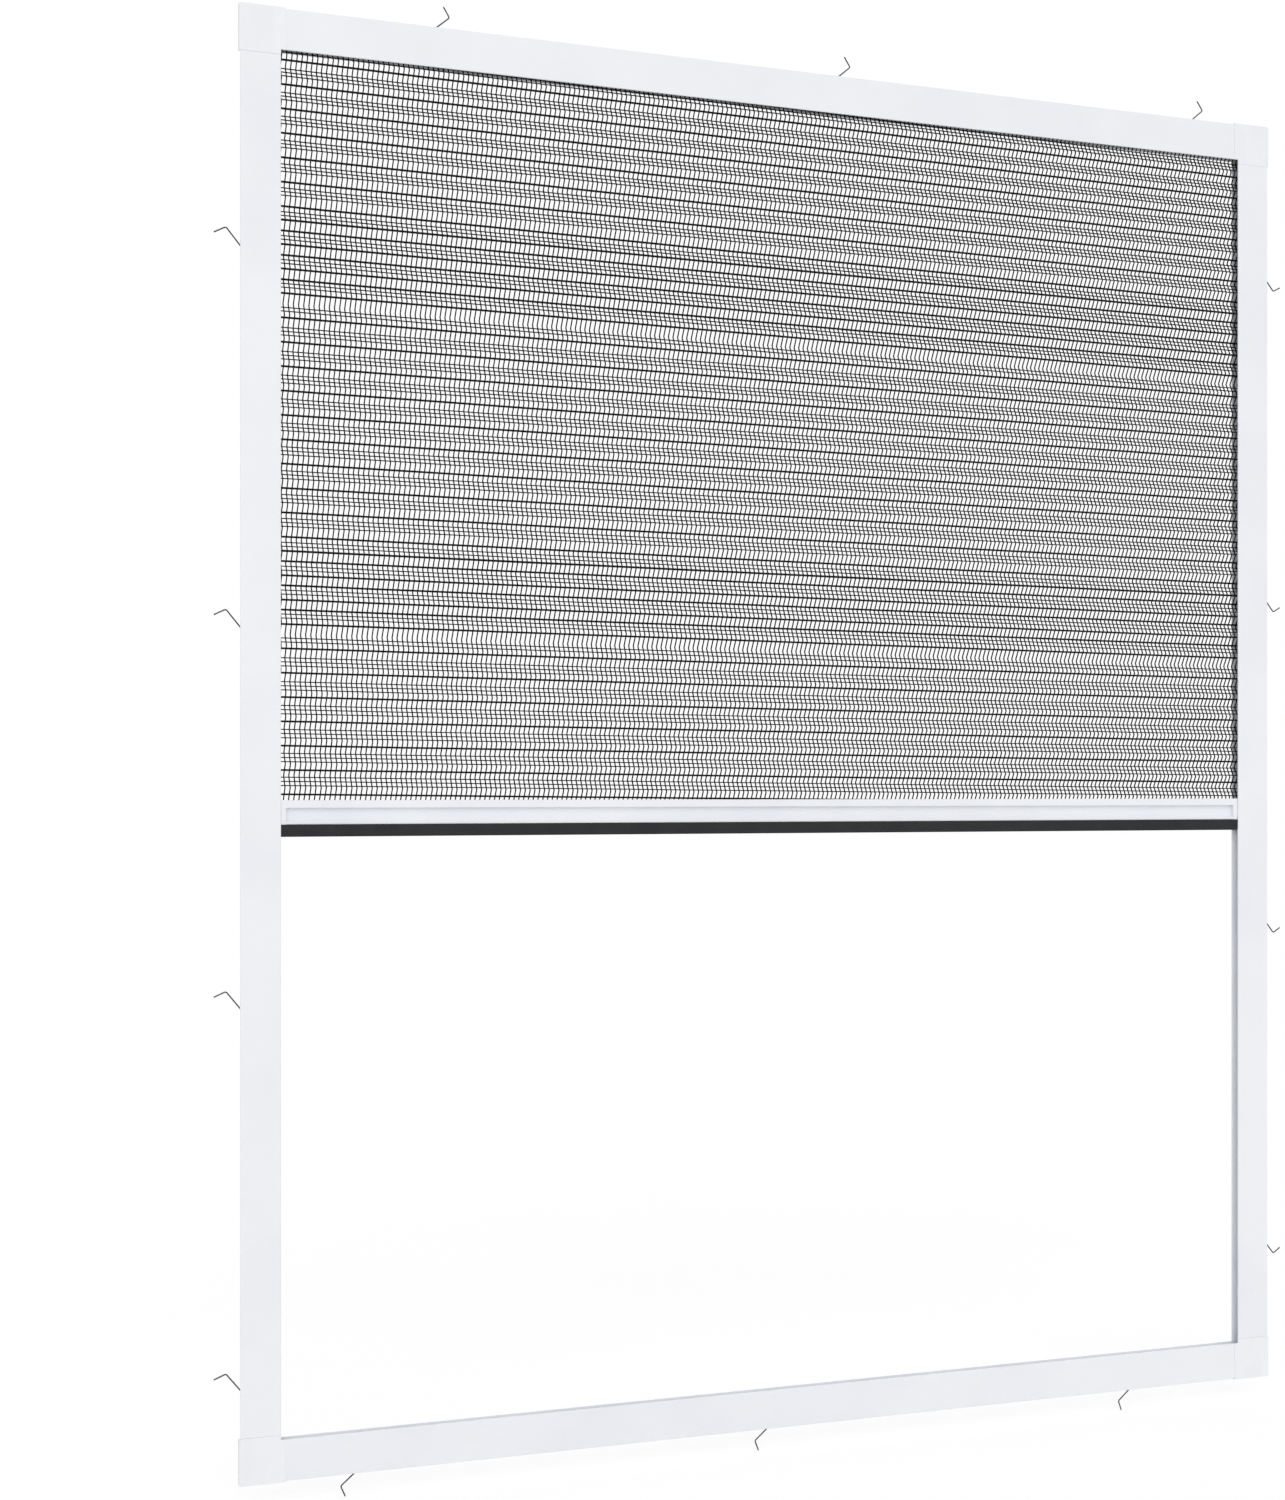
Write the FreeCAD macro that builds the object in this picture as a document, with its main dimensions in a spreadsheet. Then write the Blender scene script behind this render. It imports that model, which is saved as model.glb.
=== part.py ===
import FreeCAD, Part

import math
import os

import Sketcher

# Pleated insect screen in a white metal frame for a window.
# Row frame: X to the right, Y away from the viewer, Z up, millimetres, origin at the middle of the frame.
# Each stile and rail is drawn once in a side frame: x outward from the opening, y away from the viewer.

SIZES = {
    # The frame of four extruded profiles, each a closed chamber with a channel open to the opening.
    "frame_width": 1000.0,
    "frame_height": 1200.0,
    "frame_depth": 11.0,
    "face_width": 33.5,
    "wall": 1.3,
    "flange_reach": 9.5,
    "chamber_width": 11.0,
    "edge_round": 0.5,
    # The moulded corner pieces.
    "corner_leg": 37.5,
    "corner_proud": 1.0,
    "corner_rim": 1.6,
    "corner_rim_depth": 2.6,
    "corner_round": 1.0,
    "tenon_length": 24.0,
    "tenon_fit": 0.15,
    "tenon_groove": 2.4,
    # The pull bar, with its underside at this height below the middle of the frame.
    "bar_drop": 65.1,
    "bar_height": 20.0,
    "bar_fit": 0.3,
    "bar_top_lip": 6.3,
    "bar_low_lip": 2.3,
    "grip_depth": 4.4,
    "bar_wall": 1.3,
    "keder_mouth": 3.0,
    "keder_lip": 1.2,
    "keder_width": 5.4,
    "keder_height": 2.6,
    "keder_fit": 0.1,
    "seal_groove": 3.0,
    "seal_groove_depth": 1.2,
    "seal_rib_fit": 0.1,
    # The end caps that close the bar and run in the side channels.
    "cap_face": 4.5,
    "cap_tongue": 11.5,
    "cap_tongue_height": 16.0,
    "cap_round": 1.0,
    "cap_spigot": 12.0,
    # The rubber seal under the bar.
    "seal_height": 10.0,
    "seal_depth": 9.6,
    "seal_end_gap": 0.3,
    "seal_chamfer": 1.2,
    # The pleated net and its clamp strip in the top rail.
    "pleat_count": 31,
    "pleat_depth": 6.0,
    "net_thickness": 0.9,
    "net_edge_reach": 6.0,
    "fold_height": 1.5,
    "net_head": 5.5,
    "net_tail": 4.0,
    "mesh_band": 0.9,
    "mesh_side_band": 8.0,
    "clamp_height": 6.0,
    # The wire hooks and the moulded holders that carry them behind the flange.
    "wire_diameter": 1.2,
    "wire_bend": 1.8,
    "hook_reach": 10.7,
    "hook_lean": 50.4,
    "tip_turn": 76.5,
    "tip_back": 12.9,
    "tip_length": 10.8,
    "bore_fit": 0.1,
    "holder_width": 7.0,
    "holder_length": 16.0,
    "holder_floor": 1.0,
    "holder_chamfer": 1.5,
    "foot_length": 8.0,
    "foot_depth": 4.0,
    "foot_fit": 0.1,
    # The number of hooks on each side, and how far the end ones stand from the frame's corners.
    "side_hooks": 4,
    "end_hooks": 3,
    "right_hooks_from_bottom": 135.9,
    "right_hooks_from_top": 135.1,
    "left_hooks_from_top": 200.9,
    "left_hooks_from_bottom": 70.1,
    "top_hooks_from_right": 90.8,
    "top_hooks_from_left": 158.4,
    "bottom_hooks_from_left": 105.0,
    "bottom_hooks_from_right": 144.2,
}


class Size:
    """A driving dimension, or a sum or product of some: its number, and the text that binds it."""

    def __init__(self, value, text=None):
        self.value = float(value)
        self.text = f"{value:g}" if text is None else text

    @staticmethod
    def of(other):
        return other if isinstance(other, Size) else Size(other)

    def __add__(self, other):
        other = Size.of(other)
        return Size(self.value + other.value, f"({self.text} + {other.text})")

    def __sub__(self, other):
        other = Size.of(other)
        return Size(self.value - other.value, f"({self.text} - {other.text})")

    def __mul__(self, other):
        other = Size.of(other)
        return Size(self.value * other.value, f"({self.text} * {other.text})")

    def __truediv__(self, other):
        other = Size.of(other)
        return Size(self.value / other.value, f"({self.text} / {other.text})")

    def __neg__(self):
        return Size(-self.value, f"(-{self.text})")


def sine(angle):
    return Size(math.sin(math.radians(angle.value)), f"sin({angle.text})")


def cosine(angle):
    return Size(math.cos(math.radians(angle.value)), f"cos({angle.text})")


def tangent(angle):
    return Size(math.tan(math.radians(angle.value)), f"tan({angle.text})")


def write_sheet(document):
    """Put every driving dimension in the sheet under its own name."""
    sheet = document.addObject("Spreadsheet::Sheet", "Sizes")
    for row, (name, value) in enumerate(SIZES.items(), start=1):
        sheet.set(f"A{row}", name)
        sheet.set(f"B{row}", f"{value:g}")
        sheet.setAlias(f"B{row}", name)
    document.recompute()
    return sheet


os.makedirs("parts", exist_ok=True)
doc = FreeCAD.newDocument("PleatedWindowScreen")
sizes = write_sheet(doc)
ZERO = Size(0, "0")
SUB_PARTS = []


def size(name):
    """The driving dimension of this name."""
    return Size(sizes.get(name), f"Sizes.{name}")


def new_body(label):
    """A sub-part of its own, in a body with this label."""
    body = doc.addObject("PartDesign::Body", label)
    body.Label = label
    SUB_PARTS.append(body)
    return body


def place(body, x, y, z, turns=()):
    """Place a body at a point, turned about the named axes one after the other."""
    axes = {"X": "vector(1; 0; 0)", "Y": "vector(0; 1; 0)", "Z": "vector(0; 0; 1)"}
    parts = [f"rotation({axes[axis]}; {angle.text})" for axis, angle in turns]
    turn = " * ".join(parts) if parts else "rotation(vector(0; 1; 0); 0)"
    body.setExpression("Placement", f"placement(vector({x.text}; {y.text}; {z.text}); {turn})")


def origin_feature(body, role):
    """One of the body's own origin planes or axes."""
    return next(item for item in body.Origin.OriginFeatures if item.Role == role)


def new_sketch(body, name, plane, offset=None):
    """An empty sketch on one of the body's own origin planes, moved along the plane's normal."""
    sketch = body.newObject("Sketcher::SketchObject", name)
    sketch.AttachmentSupport = [(origin_feature(body, plane), "")]
    sketch.MapMode = "FlatFace"
    if offset is not None:
        sketch.setExpression("AttachmentOffset.Base.z", offset.text)
    return sketch


def fix(sketch, line, end, across, up):
    """Hold one end of a line at its distances from the sketch's origin."""
    for kind, axis, distance in (("DistanceX", -2, across), ("DistanceY", -1, up)):
        if distance is ZERO:
            sketch.addConstraint(Sketcher.Constraint("PointOnObject", line, end, axis))
        else:
            index = sketch.addConstraint(Sketcher.Constraint(kind, -1, 1, line, end, distance.value))
            sketch.setExpression(f"Constraints[{index}]", distance.text)


def add_outline(sketch, points):
    """Draw a closed outline through points given as pairs of sizes."""
    corners = [FreeCAD.Vector(across.value, up.value, 0) for across, up in points]
    first = sketch.GeometryCount
    count = len(points)
    for index, corner in enumerate(corners):
        sketch.addGeometry(Part.LineSegment(corner, corners[(index + 1) % count]), False)
    for index, (across, up) in enumerate(points):
        line = first + index
        following = first + (index + 1) % count
        sketch.addConstraint(Sketcher.Constraint("Coincident", line, 2, following, 1))
        fix(sketch, line, 1, across, up)


def add_route(sketch, points):
    """Draw an open route of straight runs through points given as pairs of sizes."""
    corners = [FreeCAD.Vector(across.value, up.value, 0) for across, up in points]
    for index in range(len(points) - 1):
        sketch.addGeometry(Part.LineSegment(corners[index], corners[index + 1]), False)
        fix(sketch, index, 2, *points[index + 1])
        if index:
            sketch.addConstraint(Sketcher.Constraint("Coincident", index - 1, 2, index, 1))
    fix(sketch, 0, 1, *points[0])


def box_outline(left, right, low, high):
    """The four corners of an upright rectangle."""
    return [(left, low), (right, low), (right, high), (left, high)]


def add_feature(body, kind, name, sketch, length, both_ways=False, backward=False):
    """Pad or pocket a sketch along its normal."""
    feature = body.newObject(f"PartDesign::{kind}", name)
    feature.Profile = sketch
    feature.SideType = "Symmetric" if both_ways else "One side"
    feature.Reversed = backward
    feature.setExpression("Length", length.text)
    return feature


def repeat(body, name, originals, sketch, axis, pitch, count, backward=False):
    """Repeat features in a row along an axis of a sketch."""
    pattern = body.newObject("PartDesign::LinearPattern", name)
    pattern.Originals = originals
    pattern.Direction = (sketch, [axis])
    pattern.Reversed = backward
    pattern.setExpression("Length", (pitch * (count - 1)).text)
    pattern.setExpression("Occurrences", count.text)
    body.Tip = pattern
    return pattern


def round_edges(body, name, base, radius, wanted):
    """Round the edges of a feature whose two ends both lie where the test wants them."""
    names = [
        f"Edge{number}"
        for number, edge in enumerate(base.Shape.Edges, start=1)
        if all(wanted(vertex.Point) for vertex in edge.Vertexes)
    ]
    rounding = body.newObject("PartDesign::Fillet", name)
    rounding.Base = (base, names)
    rounding.setExpression("Radius", radius.text)
    return rounding


def near(value, wanted):
    return abs(value - wanted.value) < 0.001


# Derived lengths that several pieces share.
half_depth = size("frame_depth") / 2
inner_half_depth = half_depth - size("wall")
half_width = size("frame_width") / 2
half_height = size("frame_height") / 2
chamber_end = size("flange_reach") + size("chamber_width")
opening_half_width = half_width - size("face_width")
bar_half_depth = inner_half_depth - size("bar_fit")
bar_foot = -size("bar_drop")
bar_top = bar_foot + size("bar_height")

# Each side of the frame: its turn about the depth axis, half its length, the number of its hooks, and
# how far the first and the last of them stand from the ends of the side.
hooks_across = size("end_hooks")
hooks_up = size("side_hooks")
right_ends = (size("right_hooks_from_bottom"), size("right_hooks_from_top"))
top_ends = (size("top_hooks_from_right"), size("top_hooks_from_left"))
left_ends = (size("left_hooks_from_top"), size("left_hooks_from_bottom"))
bottom_ends = (size("bottom_hooks_from_left"), size("bottom_hooks_from_right"))
SIDES = {
    "right": (Size(0), half_height, hooks_up, *right_ends),
    "top": (Size(-90), half_width, hooks_across, *top_ends),
    "left": (Size(180), half_height, hooks_up, *left_ends),
    "bottom": (Size(90), half_width, hooks_across, *bottom_ends),
}


def on_side(side, out, along):
    """The row's X and Z of a point given outward from a side's outer edge and along the side."""
    if side == "right":
        return half_width + out, along
    if side == "top":
        return -along, half_height + out
    if side == "left":
        return -(half_width + out), -along
    return along, -(half_height + out)


def hook_pitch(side):
    """The distance from one hook of a side to the next."""
    half_length, count, before, after = SIDES[side][1:]
    return (half_length * 2 - before - after) / (count - 1)


def hook_places(side):
    """How far along a side each of its hooks stands, as counted from the side's middle."""
    half_length, count, before = SIDES[side][1:4]
    return [before - half_length + hook_pitch(side) * step for step in range(int(count.value))]


def make_profile(label, side):
    """An extruded stile or rail: front flange, closed chamber, and a channel open to the opening."""
    turn, half_length, count = SIDES[side][:3]
    body = new_body(label)
    face = size("face_width")
    flange = size("flange_reach")
    section = new_sketch(body, f"{label}_section", "XY_Plane")
    add_outline(section, [
        (ZERO, -half_depth),
        (-face, -half_depth),
        (-face, -inner_half_depth),
        (-chamber_end, -inner_half_depth),
        (-chamber_end, inner_half_depth),
        (-face, inner_half_depth),
        (-face, half_depth),
        (-flange, half_depth),
        (-flange, -inner_half_depth),
        (ZERO, -inner_half_depth),
    ])
    inner_left = -(chamber_end - size("wall"))
    inner_right = -(flange + size("wall"))
    add_outline(section, box_outline(inner_left, inner_right, -inner_half_depth, inner_half_depth))
    length = (half_length - size("corner_leg")) * 2
    profile = add_feature(body, "Pad", f"{label}_profile", section, length, both_ways=True)
    doc.recompute()
    rounded = round_edges(
        body, f"{label}_soft_edges", profile, size("edge_round"),
        lambda point: near(point.y, -half_depth) and (near(point.x, ZERO) or near(point.x, -face)),
    )
    doc.recompute()
    slot = new_sketch(body, f"{label}_slot", "YZ_Plane")
    first = hook_places(side)[0]
    half_slot = size("foot_length") / 2
    half_foot = size("foot_depth") / 2
    add_outline(slot, box_outline(-half_foot, half_foot, first - half_slot, first + half_slot))
    through = size("flange_reach") + size("wall")
    cut = add_feature(body, "Pocket", f"{label}_slot_cut", slot, through)
    repeat(body, f"{label}_slots", [cut], slot, "V_Axis", hook_pitch(side), count)
    x, z = on_side(side, ZERO, ZERO)
    place(body, x, ZERO, z, [("Y", turn)])
    doc.recompute()
    if not cut.Shape.Volume < rounded.Shape.Volume:
        raise RuntimeError(f"the slots of {label} cut nothing")


def make_corner(label, side):
    """A moulded corner: front plate with a proud rim, solid core, rear plate and two grooved tenons."""
    turn = SIDES[side][0]
    body = new_body(label)
    leg = -size("corner_leg")
    face = -size("face_width")
    flange = -size("flange_reach")
    core = -chamber_end
    proud = size("corner_proud")
    rim = proud - size("corner_rim")

    plate_sketch = new_sketch(body, f"{label}_plate_outline", "XZ_Plane", inner_half_depth)
    add_outline(plate_sketch, [
        (proud, proud), (leg, proud), (leg, face), (face, face), (face, leg), (proud, leg),
    ])
    plate = add_feature(body, "Pad", f"{label}_plate", plate_sketch, size("wall"))
    doc.recompute()
    round_edges(
        body, f"{label}_round_corner", plate, size("corner_round"),
        lambda point: near(point.x, proud) and near(point.z, proud),
    )

    rim_sketch = new_sketch(body, f"{label}_rim_outline", "XZ_Plane", inner_half_depth)
    cut_corner = proud - size("corner_round")
    add_outline(rim_sketch, [
        (cut_corner, proud), (leg, proud), (leg, rim), (rim, rim), (rim, leg), (proud, leg),
        (proud, cut_corner),
    ])
    add_feature(body, "Pad", f"{label}_rim", rim_sketch, size("corner_rim_depth"), backward=True)

    core_sketch = new_sketch(body, f"{label}_core_outline", "XZ_Plane", inner_half_depth)
    add_outline(core_sketch, [
        (flange, flange), (leg, flange), (leg, core), (core, core), (core, leg), (flange, leg),
    ])
    add_feature(body, "Pad", f"{label}_core", core_sketch, inner_half_depth * 2, backward=True)

    back_sketch = new_sketch(body, f"{label}_back_outline", "XZ_Plane", -inner_half_depth)
    add_outline(back_sketch, [
        (flange, flange), (leg, flange), (leg, face), (face, face), (face, leg), (flange, leg),
    ])
    add_feature(body, "Pad", f"{label}_back", back_sketch, size("wall"), backward=True)

    fit = size("tenon_fit")
    near_side = flange - size("wall") - fit
    far_side = core + size("wall") + fit
    tip = leg - size("tenon_length")
    tenon_sketch = new_sketch(body, f"{label}_tenon_outline", "XZ_Plane")
    add_outline(tenon_sketch, box_outline(tip, leg, far_side, near_side))
    add_outline(tenon_sketch, box_outline(far_side, near_side, tip, leg))
    tenon_depth = (inner_half_depth - fit) * 2
    tenons = add_feature(body, "Pad", f"{label}_tenons", tenon_sketch, tenon_depth, both_ways=True)

    groove_sketch = new_sketch(body, f"{label}_groove_outline", "XZ_Plane", inner_half_depth - fit)
    middle = (near_side + far_side) / 2
    half_groove = size("tenon_groove") / 2
    add_outline(groove_sketch, box_outline(tip, leg, middle - half_groove, middle + half_groove))
    add_outline(groove_sketch, box_outline(middle - half_groove, middle + half_groove, tip, leg))
    grooves = add_feature(body, "Pocket", f"{label}_grooves", groove_sketch, size("tenon_groove"))
    ends = {
        "right": (half_width, half_height),
        "top": (-half_width, half_height),
        "left": (-half_width, -half_height),
        "bottom": (half_width, -half_height),
    }
    x, z = ends[side]
    place(body, x, ZERO, z, [("Y", turn)])
    doc.recompute()
    if not grooves.Shape.Volume < tenons.Shape.Volume:
        raise RuntimeError(f"the grooves of {label} cut nothing")


def make_pull_bar():
    """The sliding bar: a full-length finger grip in front and behind, with a groove for the net on top."""
    body = new_body("pull_bar")
    outer = bar_half_depth
    height = size("bar_height")
    low = size("bar_low_lip")
    high = height - size("bar_top_lip")
    web_front = -outer + size("grip_depth")
    web_back = web_front + size("bar_wall")
    mouth = size("keder_mouth") / 2
    cavity = size("keder_width") / 2
    lip = height - size("keder_lip")
    floor = lip - size("keder_height")
    groove = size("seal_groove") / 2
    section = new_sketch(body, "pull_bar_section", "YZ_Plane")
    add_outline(section, [
        (-outer, ZERO), (-groove, ZERO), (-groove, size("seal_groove_depth")),
        (groove, size("seal_groove_depth")), (groove, ZERO), (outer, ZERO),
        (outer, low), (web_back, low), (web_back, high), (outer, high), (outer, height),
        (mouth, height), (mouth, lip), (cavity, lip), (cavity, floor), (-cavity, floor),
        (-cavity, lip), (-mouth, lip), (-mouth, height), (-outer, height),
        (-outer, high), (web_front, high), (web_front, low), (-outer, low),
    ])
    length = (opening_half_width - size("cap_face")) * 2
    bar = add_feature(body, "Pad", "pull_bar_profile", section, length, both_ways=True)
    doc.recompute()
    round_edges(
        body, "pull_bar_soft_edges", bar, size("edge_round"),
        lambda point: near(point.y, -outer) and (near(point.z, ZERO) or near(point.z, height)),
    )
    place(body, ZERO, ZERO, bar_foot)


def make_end_cap(label, turn):
    """A moulded cap that closes one end of the bar, with a tongue that slides in the side channel."""
    body = new_body(label)
    outer = bar_half_depth
    height = size("bar_height")
    face_sketch = new_sketch(body, f"{label}_face_outline", "YZ_Plane")
    add_outline(face_sketch, box_outline(-outer, outer, ZERO, height))
    add_feature(body, "Pad", f"{label}_face", face_sketch, size("cap_face"))
    tongue_sketch = new_sketch(body, f"{label}_tongue_outline", "YZ_Plane", size("cap_face"))
    margin = (height - size("cap_tongue_height")) / 2
    add_outline(tongue_sketch, box_outline(-outer, outer, margin, height - margin))
    tongue = add_feature(body, "Pad", f"{label}_tongue", tongue_sketch, size("cap_tongue"))
    doc.recompute()
    tip = size("cap_face") + size("cap_tongue")
    round_edges(
        body, f"{label}_tongue_lead", tongue, size("cap_round"),
        lambda point: near(point.x, tip) and abs(abs(point.y) - outer.value) < 0.001,
    )
    fit = size("keder_fit")
    half_spigot = size("keder_width") / 2 - fit
    roof = height - size("keder_lip")
    floor = roof - size("keder_height")
    spigot_sketch = new_sketch(body, f"{label}_spigot_outline", "YZ_Plane")
    add_outline(spigot_sketch, box_outline(-half_spigot, half_spigot, floor + fit, roof - fit))
    add_feature(body, "Pad", f"{label}_spigot", spigot_sketch, size("cap_spigot"), backward=True)
    end = opening_half_width - size("cap_face")
    place(body, end if turn.value == 0 else -end, ZERO, bar_foot, [("Z", turn)])


def make_bar_seal():
    """The black rubber strip under the bar, held by a rib in the bar's underside."""
    body = new_body("bar_seal")
    half = size("seal_depth") / 2
    height = -size("seal_height")
    chamfer = size("seal_chamfer")
    section = new_sketch(body, "bar_seal_section", "YZ_Plane")
    add_outline(section, [
        (-half, ZERO), (-half, height + chamfer), (-half + chamfer, height), (half - chamfer, height),
        (half, height + chamfer), (half, ZERO),
    ])
    length = (opening_half_width - size("seal_end_gap")) * 2
    add_feature(body, "Pad", "bar_seal_strip", section, length, both_ways=True)
    rib = size("seal_groove") / 2 - size("seal_rib_fit")
    rib_section = new_sketch(body, "bar_seal_rib_section", "YZ_Plane")
    add_outline(rib_section, box_outline(-rib, rib, ZERO, size("seal_groove_depth") - size("seal_rib_fit")))
    rib_length = (opening_half_width - size("cap_face")) * 2
    add_feature(body, "Pad", "bar_seal_rib", rib_section, rib_length, both_ways=True)
    place(body, ZERO, ZERO, bar_foot)


def make_bar_net_clamp():
    """The strip that holds the foot of the net in the groove on top of the bar."""
    body = new_body("bar_net_clamp")
    half = size("keder_width") / 2 - size("keder_fit")
    roof = size("bar_height") - size("keder_lip")
    section = new_sketch(body, "bar_net_clamp_section", "YZ_Plane")
    add_outline(section, box_outline(-half, half, roof - size("keder_height"), roof))
    length = (opening_half_width - size("cap_face") - size("cap_spigot")) * 2
    add_feature(body, "Pad", "bar_net_clamp_strip", section, length, both_ways=True)
    place(body, ZERO, ZERO, bar_foot)


net_half_width = opening_half_width + size("net_edge_reach")
clamp_top = half_height - chamber_end
net_top = clamp_top - size("clamp_height")
net_foot = bar_top - size("keder_lip")
first_fold = net_top - size("net_head")
last_fold = bar_top + size("net_tail")
pleat_pitch = (first_fold - last_fold) / (size("pleat_count") - 0.5)


def make_top_net_clamp():
    """The strip that holds the head of the net in the channel of the top rail."""
    body = new_body("top_net_clamp")
    section = new_sketch(body, "top_net_clamp_section", "YZ_Plane")
    add_outline(section, box_outline(-inner_half_depth, inner_half_depth, net_top, clamp_top))
    add_feature(body, "Pad", "top_net_clamp_strip", section, net_half_width * 2, both_ways=True)
    place(body, ZERO, ZERO, ZERO)


def make_pleated_net():
    """The net as one folded wall: a ridge along each front fold and an opening in every flank."""
    body = new_body("pleated_net")
    half = size("pleat_depth") / 2
    wall = size("net_thickness")
    half_pitch = pleat_pitch / 2
    nose = size("fold_height") / 2
    slope = (half * 2 - wall) / half_pitch
    front_fold = first_fold - half_pitch

    section = new_sketch(body, "pleat_section", "YZ_Plane")
    add_outline(section, [
        (-half, front_fold + nose), (half - wall, front_fold + half_pitch), (half, front_fold + half_pitch),
        (-half + wall, front_fold), (half, front_fold - half_pitch), (half - wall, front_fold - half_pitch),
        (-half, front_fold - nose),
    ])
    pleat = add_feature(body, "Pad", "pleat", section, net_half_width * 2, both_ways=True)

    mesh = new_sketch(body, "pleat_openings", "XZ_Plane")
    side = net_half_width - size("mesh_side_band")
    band = size("mesh_band")
    for low, high in (
        (front_fold + nose + band, front_fold + half_pitch - band),
        (front_fold - half_pitch + band, front_fold - nose - band),
    ):
        add_outline(mesh, box_outline(-side, side, low, high))
    openings = add_feature(body, "Pocket", "pleat_mesh", mesh, half * 4, both_ways=True)
    doc.recompute()
    if not openings.Shape.Volume < pleat.Shape.Volume:
        raise RuntimeError("the openings of the net cut nothing")
    count = size("pleat_count") - 1
    repeat(body, "pleats", [pleat, openings], section, "V_Axis", pleat_pitch, count, backward=True)

    head = new_sketch(body, "net_head_section", "YZ_Plane")
    head_front = half - wall - slope * size("net_head")
    add_outline(head, [
        (half - wall, first_fold), (half, first_fold), (head_front + wall, net_top), (head_front, net_top),
    ])
    add_feature(body, "Pad", "net_head_flank", head, net_half_width * 2, both_ways=True)

    tail = new_sketch(body, "net_tail_section", "YZ_Plane")
    at_bar = -half + slope * (last_fold - bar_top)
    add_outline(tail, [
        (half - wall, last_fold + half_pitch), (half, last_fold + half_pitch), (-half + wall, last_fold),
        (at_bar + wall, bar_top), (at_bar, bar_top), (-half, last_fold - nose), (-half, last_fold + nose),
    ])
    add_feature(body, "Pad", "net_tail_flank", tail, net_half_width * 2, both_ways=True)
    foot = new_sketch(body, "net_foot_section", "YZ_Plane")
    add_outline(foot, box_outline(at_bar, at_bar + wall, net_foot, bar_top))
    foot_length = (opening_half_width - size("cap_face") - size("cap_spigot")) * 2
    add_feature(body, "Pad", "net_foot_strip", foot, foot_length, both_ways=True)
    place(body, ZERO, ZERO, ZERO)


lean = size("hook_lean")
seat_back = size("holder_width") / 2 - size("holder_floor")


def make_holder(label, side, along):
    """A moulded block behind the flange, snapped into the profile's side wall, with a slanted bore."""
    body = new_body(label)
    half = size("holder_length") / 2
    width = size("holder_width")
    chamfer = size("holder_chamfer")
    block_sketch = new_sketch(body, f"{label}_block_outline", "XZ_Plane")
    add_outline(block_sketch, [
        (ZERO, -half), (width - chamfer, -half), (width, -half + chamfer), (width, half - chamfer),
        (width - chamfer, half), (ZERO, half),
    ])
    add_feature(body, "Pad", f"{label}_block", block_sketch, inner_half_depth * 2, both_ways=True)
    fit = size("foot_fit")
    half_foot = size("foot_length") / 2 - fit
    foot_sketch = new_sketch(body, f"{label}_foot_outline", "XZ_Plane")
    add_outline(foot_sketch, box_outline(-size("wall"), ZERO, -half_foot, half_foot))
    foot_depth = size("foot_depth") - fit * 2
    foot = add_feature(body, "Pad", f"{label}_foot", foot_sketch, foot_depth, both_ways=True)
    doc.recompute()
    bore = body.newObject("PartDesign::SubtractiveCylinder", f"{label}_bore")
    bore.setExpression("Radius", (size("wire_diameter") / 2 + size("bore_fit")).text)
    bore.setExpression("Height", (width / cosine(lean)).text)
    root = seat_back * tangent(lean)
    bore.setExpression(
        "Placement",
        f"placement(vector({size('holder_floor').text}; 0; {root.text}); "
        f"rotation(vector(0; 1; 0); 90 + {lean.text}))",
    )
    x, z = on_side(side, -size("flange_reach"), along)
    place(body, x, ZERO, z, [("Y", SIDES[side][0])])
    doc.recompute()
    if not bore.Shape.Volume < foot.Shape.Volume:
        raise RuntimeError(f"the bore of {label} cuts nothing")


def make_hook(label, side, along):
    """A spring-wire hook: a straight leg that leans along the frame, one bend and a shorter tip leg."""
    body = new_body(label)
    turn = size("tip_turn")
    root_out = size("holder_floor") - size("flange_reach")
    leg = (size("hook_reach") - root_out) / cosine(lean)
    tip = size("tip_length")
    bend = size("wire_bend")
    step = turn / 3
    half_chord = bend * tangent(step / 2)
    first = leg - bend * tangent(turn / 2) + half_chord
    second = (first + half_chord * 2 * cosine(step), half_chord * 2 * sine(step))
    third = (
        second[0] + half_chord * 2 * cosine(step * 2),
        second[1] + half_chord * 2 * sine(step * 2),
    )
    tip_end = (leg + tip * cosine(turn), tip * sine(turn))
    route = new_sketch(body, f"{label}_route", "XZ_Plane")
    add_route(route, [(ZERO, ZERO), (first, ZERO), second, third, tip_end])

    wire = size("wire_diameter")
    section = new_sketch(body, f"{label}_section", "YZ_Plane")
    section.addGeometry(Part.Circle(FreeCAD.Vector(0, 0, 0), FreeCAD.Vector(0, 0, 1), wire.value / 2), False)
    section.addConstraint(Sketcher.Constraint("Coincident", 0, 3, -1, 1))
    diameter = section.addConstraint(Sketcher.Constraint("Diameter", 0, wire.value))
    section.setExpression(f"Constraints[{diameter}]", wire.text)

    sweep = body.newObject("PartDesign::AdditivePipe", f"{label}_sweep")
    sweep.Profile = section
    sweep.Spine = (route, [f"Edge{number}" for number in range(1, 5)])
    sweep.Transition = "Right corner"
    x, z = on_side(side, root_out, along + seat_back * tangent(lean))
    place(body, x, ZERO, z, [("Y", SIDES[side][0] + lean), ("X", -size("tip_back"))])


make_profile("left_stile", "left")
make_profile("right_stile", "right")
make_profile("top_rail", "top")
make_profile("bottom_rail", "bottom")
make_corner("corner_top_right", "right")
make_corner("corner_top_left", "top")
make_corner("corner_bottom_left", "left")
make_corner("corner_bottom_right", "bottom")
make_pull_bar()
make_end_cap("bar_cap_right", Size(0))
make_end_cap("bar_cap_left", Size(180))
make_bar_seal()
make_bar_net_clamp()
make_top_net_clamp()
make_pleated_net()
for side_name in SIDES:
    for number, along in enumerate(hook_places(side_name), start=1):
        make_holder(f"{side_name}_hook_holder_{number}", side_name, along)
        make_hook(f"{side_name}_hook_{number}", side_name, along)

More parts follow.
